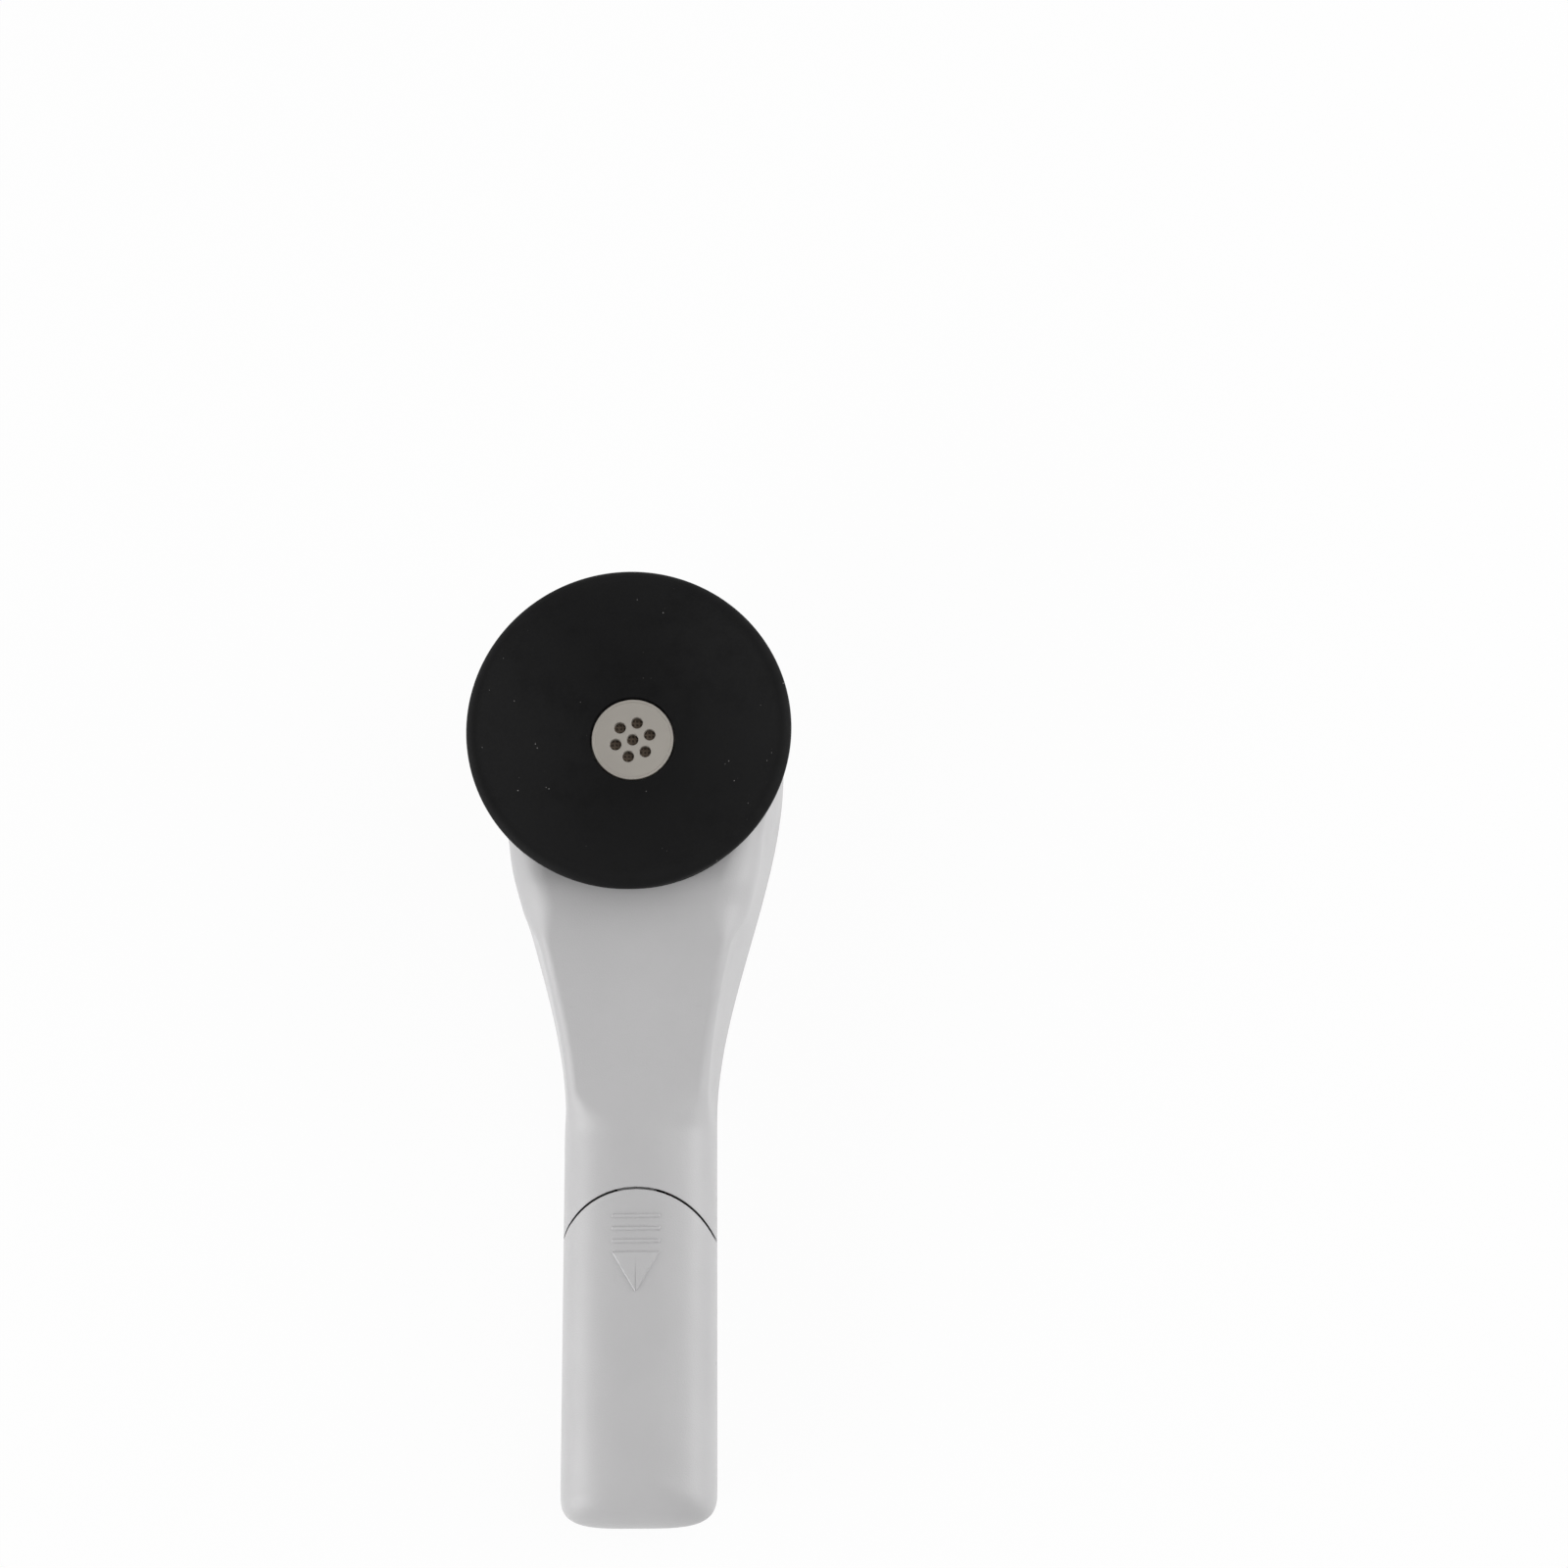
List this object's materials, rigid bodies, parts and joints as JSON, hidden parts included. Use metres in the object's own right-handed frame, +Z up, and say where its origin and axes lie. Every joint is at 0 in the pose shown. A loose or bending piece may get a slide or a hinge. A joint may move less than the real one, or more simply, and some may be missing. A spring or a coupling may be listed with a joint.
{
  "type": "handheld audiometer",
  "caption": "Handheld audiometer with a round head, black ear cushion, recessed display and keys on the back, and a battery in the grip.",
  "frame": {"origin": "middle of the bounding box, at the level of the flat back that the device lies on", "axes": "+Z up out of the back through the ear cushion, +Y along the device from the grip to the round head, +X to the right seen from above"},
  "size_m": [0.065, 0.189, 0.0544],
  "materials": {
    "shell_plastic": "light grey, satin, fine moulded texture",
    "cap_plastic": "off-white, satin",
    "cushion_silicone": "black, matte, soft",
    "key_rubber": "dark blue-grey, matte",
    "mat_rubber": "grey, matte",
    "window_lens": "clear, polished",
    "display_glass": "grey-green display glass",
    "black_plastic": "black, matte",
    "board_laminate": "green, lacquered",
    "plated_steel": "nickel plated",
    "copper_wire": "lacquered copper winding",
    "foam": "black closed-cell foam",
    "grille_cloth": "grey-brown acoustic cloth",
    "clear_film": "thin moulded film",
    "battery_jacket": "printed metal jacket, plain",
    "capacitor_sleeve": "dark blue sleeve",
    "white_nylon": "off-white nylon",
    "red_insulation": "red insulation",
    "black_insulation": "black insulation"
  },
  "bodies": {
    "case": {"front_shell": "shell_plastic", "rear_shell": "shell_plastic", "earphone_cap": "cap_plastic", "grille_cloth": "grille_cloth", "driver_gasket": "foam", "driver_diaphragm": "clear_film", "voice_coil": "copper_wire", "driver_frame": "black_plastic", "driver_magnet": "plated_steel", "driver_clamp": "plated_steel", "driver_screw_1": "plated_steel", "driver_screw_2": "plated_steel", "driver_screw_3": "plated_steel", "driver_lead_red": "red_insulation", "driver_lead_black": "black_insulation", "lcd_window": "window_lens", "lcd_panel": "display_glass", "lcd_frame": "black_plastic", "upper_zebra_strip": "mat_rubber", "lower_zebra_strip": "mat_rubber", "main_board": "board_laminate", "processor_chip": "black_plastic", "amplifier_chip": "black_plastic", "crystal_can": "plated_steel", "left_capacitor": "capacitor_sleeve", "right_capacitor": "capacitor_sleeve", "driver_lead_header": "white_nylon", "battery_lead_header": "white_nylon", "board_screw_1": "plated_steel", "board_screw_2": "plated_steel", "keypad_mat": "mat_rubber", "battery": "battery_jacket", "positive_terminal": "plated_steel", "negative_terminal": "plated_steel", "snap_connector": "black_plastic", "battery_lead_red": "red_insulation", "battery_lead_black": "black_insulation", "battery_foam": "foam", "housing_screw_1": "plated_steel", "housing_screw_2": "plated_steel", "housing_screw_3": "plated_steel", "housing_screw_4": "plated_steel", "housing_screw_5": "plated_steel"},
    "cover": {"battery_cover": "shell_plastic"},
    "cushion": {"ear_cushion": "cushion_silicone"},
    "frequency_down": {"frequency_down_key": "key_rubber"},
    "frequency_up": {"frequency_up_key": "key_rubber"},
    "level_down": {"level_down_key": "key_rubber"},
    "level_up": {"level_up_key": "key_rubber"},
    "tone": {"tone_key": "key_rubber"},
    "power": {"power_key": "key_rubber"}
  },
  "joints": [
    {"name": "battery_cover_slide", "type": "slide", "parent": "case", "child": "cover", "axis": [0, -1, 0], "range_m": [0, 0.075]},
    {"name": "ear_cushion_pull", "type": "slide", "parent": "case", "child": "cushion", "axis": [0, 0, 1], "range_m": [0, 0.025]},
    {"name": "frequency_down_press", "type": "slide", "parent": "case", "child": "frequency_down", "axis": [0, 0, 1], "range_m": [0, 0.0008], "stiffness_N_per_m": 1500},
    {"name": "frequency_up_press", "type": "slide", "parent": "case", "child": "frequency_up", "axis": [0, 0, 1], "range_m": [0, 0.0008], "stiffness_N_per_m": 1500},
    {"name": "level_down_press", "type": "slide", "parent": "case", "child": "level_down", "axis": [0, 0, 1], "range_m": [0, 0.0008], "stiffness_N_per_m": 1500},
    {"name": "level_up_press", "type": "slide", "parent": "case", "child": "level_up", "axis": [0, 0, 1], "range_m": [0, 0.0008], "stiffness_N_per_m": 1500},
    {"name": "tone_press", "type": "slide", "parent": "case", "child": "tone", "axis": [0, 0, 1], "range_m": [0, 0.0008], "stiffness_N_per_m": 1500},
    {"name": "power_press", "type": "slide", "parent": "case", "child": "power", "axis": [0, 0, 1], "range_m": [0, 0.0008], "stiffness_N_per_m": 1500}
  ]
}
